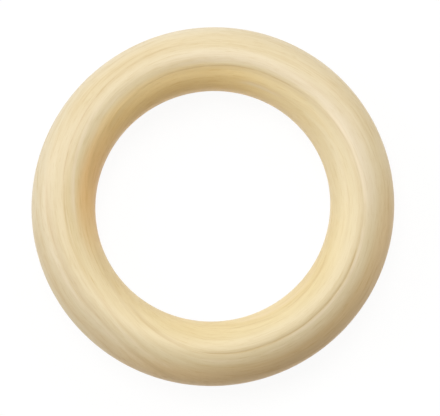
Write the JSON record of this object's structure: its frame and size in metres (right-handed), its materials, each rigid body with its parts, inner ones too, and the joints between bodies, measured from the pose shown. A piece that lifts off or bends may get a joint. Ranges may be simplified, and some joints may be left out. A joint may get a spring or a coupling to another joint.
{
  "type": "wooden curtain ring",
  "caption": "Plain turned wooden curtain ring with a rounded section and an open bore that slides along a curtain pole.",
  "frame": {"origin": "centre of the ring, on its axis and halfway through its thickness", "axes": "+Z along the ring's axis, up when the ring lies flat; X and Y in the plane of the ring"},
  "size_m": [0.07, 0.07, 0.0124],
  "materials": {
    "wood": "sanded smooth, unstained, faint satin sheen"
  },
  "bodies": {
    "root": {"wooden_ring": "wood"}
  },
  "joints": []
}
